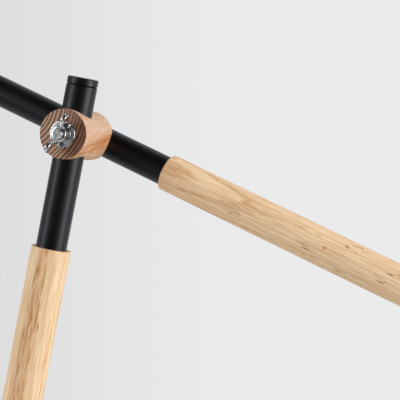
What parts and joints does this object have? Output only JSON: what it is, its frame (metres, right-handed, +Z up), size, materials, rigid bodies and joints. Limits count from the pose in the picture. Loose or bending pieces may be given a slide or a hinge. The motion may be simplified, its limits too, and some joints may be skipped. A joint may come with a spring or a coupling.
{
  "type": "floor lamp",
  "caption": "Floor lamp with a round weighted base, an ash-sleeved black mast and a counter-gripped arm that tilts on a wooden block clamped by a wing nut; the shaded head tilts too.",
  "frame": {"origin": "centre of the base's underside, on the floor", "axes": "+Z up along the mast, -Y to the front where the wing nut is, -X towards the lamp head"},
  "size_m": [1.1698, 0.3176, 1.4714],
  "materials": {
    "floor_pad": "matt foam rubber",
    "cast_weight": "rough casting",
    "black_coat": "satin powder coat",
    "plain_steel": "plain turned",
    "ash": "clear oiled, satin",
    "block_wood": "clear oiled, end grain darker",
    "fibre": "pressed fibre",
    "bright_zinc": "bright zinc plate",
    "gland_rubber": "moulded",
    "black_plastic": "moulded",
    "brass": "drawn",
    "shade_coat": "satin black outside, white inside",
    "bulb_metal": "rolled",
    "bulb_glass": "frosted"
  },
  "bodies": {
    "stand": {"base_pad": "floor_pad", "base_weight": "cast_weight", "base_cover": "black_coat", "base_washer": "plain_steel", "base_bolt": "plain_steel", "mast_foot": "black_coat", "foot_plug": "plain_steel", "mast_lower_tube": "black_coat", "mast_lower_sleeve": "ash", "mast_collar": "black_coat", "mast_upper_tube": "black_coat", "mast_upper_sleeve": "ash", "mast_cap": "black_coat", "block_front_half": "block_wood", "friction_disc": "fibre", "joint_washer": "bright_zinc"},
    "arm": {"block_rear_half": "block_wood", "joint_bolt": "bright_zinc", "bolt_saddle": "bright_zinc", "arm_tube": "black_coat", "arm_grip": "ash", "arm_end_cap": "black_coat", "cord_gland": "gland_rubber", "arm_tip": "black_coat"},
    "wing_nut": {"wing_nut": "bright_zinc"},
    "head": {"head_yoke": "black_coat", "pivot_pin": "bright_zinc", "head_neck": "ash", "head_nipple": "plain_steel", "lampholder": "black_plastic", "screw_shell": "brass", "centre_contact": "brass", "shade": "shade_coat", "shade_ring": "black_plastic", "bulb_cap": "bulb_metal", "bulb_glass": "bulb_glass"},
    "thumb_nut": {"thumb_nut": "bright_zinc"},
    "switch": {"switch_knob": "black_plastic"}
  },
  "joints": [
    {"name": "arm_tilt", "type": "hinge", "parent": "stand", "child": "arm", "pos_m": [0, 0, 1.33], "axis": [0, 1, 0], "range_deg": [-38, 35]},
    {"name": "wing_nut_turn", "type": "hinge", "parent": "arm", "child": "wing_nut", "pos_m": [0, 0, 1.33], "axis": [0, -1, 0], "continuous": true},
    {"name": "head_tilt", "type": "hinge", "parent": "arm", "child": "head", "pos_m": [-0.57413, 0.0414, 1.46149], "axis": [0, 1, 0], "range_deg": [-25, 75]},
    {"name": "thumb_nut_turn", "type": "hinge", "parent": "head", "child": "thumb_nut", "pos_m": [-0.57413, 0.0414, 1.46149], "axis": [0, -1, 0], "continuous": true},
    {"name": "switch_turn", "type": "hinge", "parent": "head", "child": "switch", "pos_m": [-0.57413, 0.0414, 1.39124], "axis": [0, -1, 0], "range_deg": [0, 90]}
  ]
}
